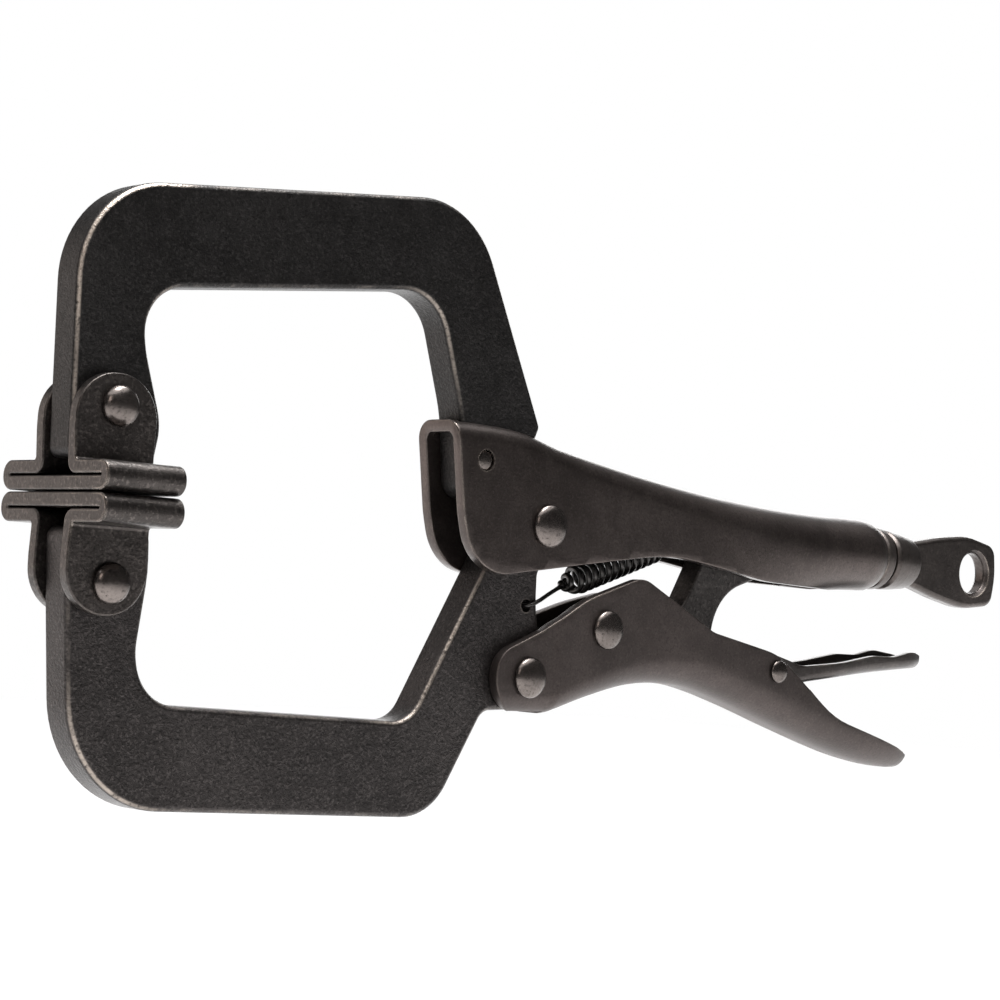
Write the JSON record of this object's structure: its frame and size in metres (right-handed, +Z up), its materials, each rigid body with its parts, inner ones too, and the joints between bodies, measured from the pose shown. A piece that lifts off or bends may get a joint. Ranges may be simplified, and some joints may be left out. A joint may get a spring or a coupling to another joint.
{
  "type": "locking c clamp",
  "caption": "Locking C-clamp pliers: forged C arms with swivel pads, folded handles, over-centre toggle, adjusting screw, release lever and tension spring.",
  "frame": {"origin": "middle of the tool's bounding box with the jaws shut", "axes": "+X runs from the pads to the adjusting screw, +Y runs across the tool to its far side, +Z is up, from the lower arm to the upper arm; the pads meet in a horizontal plane"},
  "size_m": [0.2812, 0.036, 0.1276],
  "materials": {
    "arm_steel": "black oxide over a fine forged grain, worn bright on the edges",
    "handle_steel": "satin black oxide on rolled sheet",
    "pad_steel": "satin black oxide, rubbed pale on the folds",
    "link_steel": "dark oxide",
    "release_steel": "dark oxide on thin sheet",
    "screw_steel": "dark oxide, pale where it was turned",
    "rivet_steel": "polished dark oxide",
    "spring_steel": "oiled black spring wire"
  },
  "bodies": {
    "frame": {"upper_handle": "handle_steel", "upper_arm": "arm_steel", "tang_rivet": "rivet_steel", "jaw_pivot_rivet": "rivet_steel", "screw_nut": "screw_steel", "upper_pad_rivet": "rivet_steel", "tension_spring": "spring_steel"},
    "lower_jaw": {"lower_arm": "arm_steel", "lower_pad_rivet": "rivet_steel", "lever_pivot_rivet": "rivet_steel"},
    "lever": {"lower_handle": "handle_steel", "link_rivet": "rivet_steel", "release_rivet": "rivet_steel"},
    "link": {"toggle_link": "link_steel"},
    "release": {"release_lever": "release_steel"},
    "screw": {"adjusting_screw": "screw_steel"},
    "pad_up": {"upper_pad": "pad_steel"},
    "pad_down": {"lower_pad": "pad_steel"}
  },
  "joints": [
    {"name": "jaw_open", "type": "hinge", "parent": "frame", "child": "lower_jaw", "pos_m": [-0.02095, 0, -0.00164], "axis": [0, -1, 0], "range_deg": [0, 15], "deforming": ["tension_spring"]},
    {"name": "lever_swing", "type": "hinge", "parent": "lower_jaw", "child": "lever", "pos_m": [-0.02425, 0, -0.03404], "axis": [0, 1, 0], "range_deg": [0, 59.6]},
    {"name": "link_turn", "type": "hinge", "parent": "lever", "child": "link", "pos_m": [-0.00245, 0, -0.02294], "axis": [0, -1, 0], "range_deg": [0, 62.7]},
    {"name": "release_press", "type": "hinge", "parent": "lever", "child": "release", "pos_m": [0.05245, 0, -0.03014], "axis": [0, 1, 0], "range_deg": [0, 12]},
    {"name": "screw_travel", "type": "slide", "parent": "frame", "child": "screw", "axis": [0.9993, 0, -0.0384], "range_m": [0, 0.017]},
    {"name": "upper_pad_swivel", "type": "hinge", "parent": "frame", "child": "pad_up", "pos_m": [-0.13145, 0, 0.01296], "axis": [0, -1, 0], "range_deg": [0, 7.6]},
    {"name": "lower_pad_swivel", "type": "hinge", "parent": "lower_jaw", "child": "pad_down", "pos_m": [-0.13095, 0, -0.01994], "axis": [0, 1, 0], "range_deg": [0, 7.6]}
  ],
  "couplings": [
    {"joint": "lever_swing", "follows": "jaw_open", "ratio": 3.97},
    {"joint": "link_turn", "follows": "jaw_open", "ratio": 4.177},
    {"joint": "upper_pad_swivel", "follows": "jaw_open", "ratio": 0.5},
    {"joint": "lower_pad_swivel", "follows": "jaw_open", "ratio": 0.5}
  ]
}
